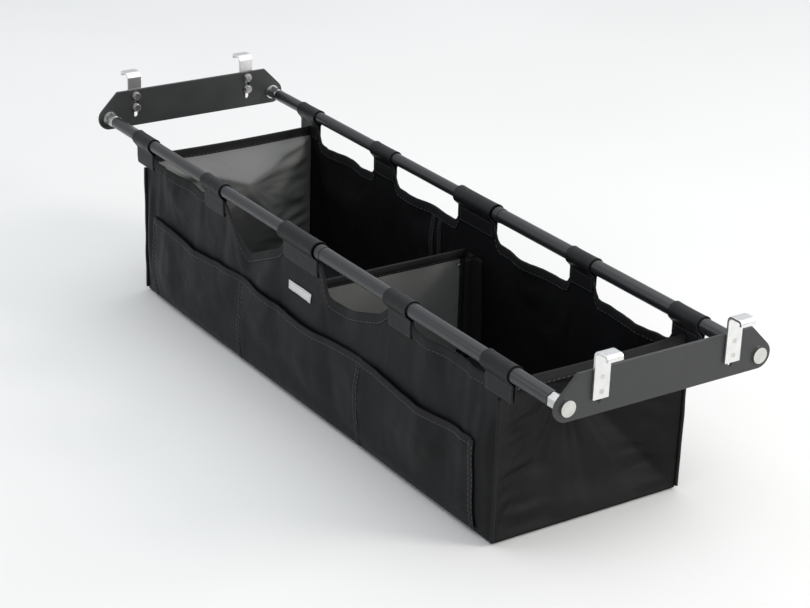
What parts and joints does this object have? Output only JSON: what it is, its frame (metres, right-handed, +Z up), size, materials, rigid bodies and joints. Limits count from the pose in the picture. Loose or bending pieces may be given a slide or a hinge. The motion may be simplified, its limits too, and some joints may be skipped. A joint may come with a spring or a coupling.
{
  "type": "bed cargo bar organiser",
  "caption": "Telescoping cross bars with hooked end plates that span a pickup bed and carry a divided hanging storage bag between them.",
  "frame": {"origin": "below the middle of the span, midway between the bars, level with the underside of the bag", "axes": "+X along the bars to the right-hand bed rail, +Y to the cab, +Z up"},
  "size_m": [1.533, 0.409, 0.384],
  "materials": {
    "plate_paint": "dark grey powder coat, fine texture",
    "bar_paint": "satin black powder coat",
    "hook_steel": "bright zinc plate",
    "zinc": "bright zinc plate",
    "plug_alloy": "machined",
    "nylon": "moulded",
    "collar_plastic": "moulded, satin",
    "bag_fabric": "black coated polyester weave",
    "bag_lining": "grey coated lining",
    "bag_binding": "black woven tape",
    "board_plastic": "ribbed board",
    "tag_vinyl": "blank moulded tag"
  },
  "bodies": {
    "left_end": {"left_end_plate": "plate_paint", "left_bar_washers": "zinc", "left_rear_bar_stud": "zinc", "left_rear_tube_plug": "plug_alloy", "left_front_bar_stud": "zinc", "left_front_tube_plug": "plug_alloy", "rear_inner_tube": "bar_paint", "rear_guide_bush": "nylon", "front_inner_tube": "bar_paint", "front_guide_bush": "nylon"},
    "right_end": {"right_end_plate": "plate_paint", "right_bar_washers": "zinc", "right_rear_bar_stud": "zinc", "right_rear_tube_plug": "plug_alloy", "right_front_bar_stud": "zinc", "right_front_tube_plug": "plug_alloy", "rear_outer_tube": "bar_paint", "rear_collet": "nylon", "front_outer_tube": "bar_paint", "front_collet": "nylon"},
    "bag": {"rear_wall": "bag_fabric", "front_wall": "bag_fabric", "left_end_wall": "bag_lining", "right_end_wall": "bag_lining", "left_end_binding": "bag_binding", "right_end_binding": "bag_binding", "floor_panel": "bag_fabric", "floor_board": "board_plastic", "rear_loops": "bag_binding", "front_loops": "bag_binding", "rear_divider_guides": "bag_binding", "front_divider_guides": "bag_binding", "rear_pocket": "bag_fabric", "blank_tag": "tag_vinyl", "corner_piping": "bag_binding"},
    "divider": {"divider_panel": "bag_lining", "divider_binding": "bag_binding", "divider_rivets": "zinc"},
    "rear_collar": {"rear_lock_collar": "collar_plastic"},
    "front_collar": {"front_lock_collar": "collar_plastic"},
    "left_rear_nut": {"left_rear_bar_nut": "zinc"},
    "left_rear_hook": {"left_rear_rail_hook": "hook_steel", "left_rear_hook_bolts": "zinc", "left_rear_hook_washers": "zinc"},
    "left_front_nut": {"left_front_bar_nut": "zinc"},
    "left_front_hook": {"left_front_rail_hook": "hook_steel", "left_front_hook_bolts": "zinc", "left_front_hook_washers": "zinc"},
    "right_rear_nut": {"right_rear_bar_nut": "zinc"},
    "right_rear_hook": {"right_rear_rail_hook": "hook_steel", "right_rear_hook_bolts": "zinc", "right_rear_hook_washers": "zinc"},
    "right_front_nut": {"right_front_bar_nut": "zinc"},
    "right_front_hook": {"right_front_rail_hook": "hook_steel", "right_front_hook_bolts": "zinc", "right_front_hook_washers": "zinc"}
  },
  "joints": [
    {"name": "width_slide", "type": "slide", "parent": "left_end", "child": "right_end", "axis": [1, 0, 0], "range_m": [-0.03, 0.12]},
    {"name": "bag_slide", "type": "slide", "parent": "left_end", "child": "bag", "axis": [1, 0, 0], "range_m": [-0.06, 0.06]},
    {"name": "divider_lift", "type": "slide", "parent": "bag", "child": "divider", "axis": [0, 0, 1], "range_m": [0, 0.2]},
    {"name": "rear_collar_twist", "type": "hinge", "parent": "right_end", "child": "rear_collar", "pos_m": [0.067, -0.1815, 0.302], "axis": [1, 0, 0], "range_deg": [0, 120]},
    {"name": "front_collar_twist", "type": "hinge", "parent": "right_end", "child": "front_collar", "pos_m": [0.067, 0.1815, 0.302], "axis": [1, 0, 0], "range_deg": [0, 120]},
    {"name": "left_rear_nut_turn", "type": "hinge", "parent": "left_end", "child": "left_rear_nut", "pos_m": [-0.714, -0.1815, 0.302], "axis": [1, 0, 0], "range_deg": [0, 180]},
    {"name": "left_rear_hook_adjust", "type": "slide", "parent": "left_end", "child": "left_rear_hook", "axis": [0, 0, 1], "range_m": [-0.016, 0]},
    {"name": "left_front_nut_turn", "type": "hinge", "parent": "left_end", "child": "left_front_nut", "pos_m": [-0.714, 0.1815, 0.302], "axis": [1, 0, 0], "range_deg": [0, 180]},
    {"name": "left_front_hook_adjust", "type": "slide", "parent": "left_end", "child": "left_front_hook", "axis": [0, 0, 1], "range_m": [-0.016, 0]},
    {"name": "right_rear_nut_turn", "type": "hinge", "parent": "right_end", "child": "right_rear_nut", "pos_m": [0.714, -0.1815, 0.302], "axis": [1, 0, 0], "range_deg": [0, 180]},
    {"name": "right_rear_hook_adjust", "type": "slide", "parent": "right_end", "child": "right_rear_hook", "axis": [0, 0, 1], "range_m": [-0.016, 0]},
    {"name": "right_front_nut_turn", "type": "hinge", "parent": "right_end", "child": "right_front_nut", "pos_m": [0.714, 0.1815, 0.302], "axis": [1, 0, 0], "range_deg": [0, 180]},
    {"name": "right_front_hook_adjust", "type": "slide", "parent": "right_end", "child": "right_front_hook", "axis": [0, 0, 1], "range_m": [-0.016, 0]}
  ]
}
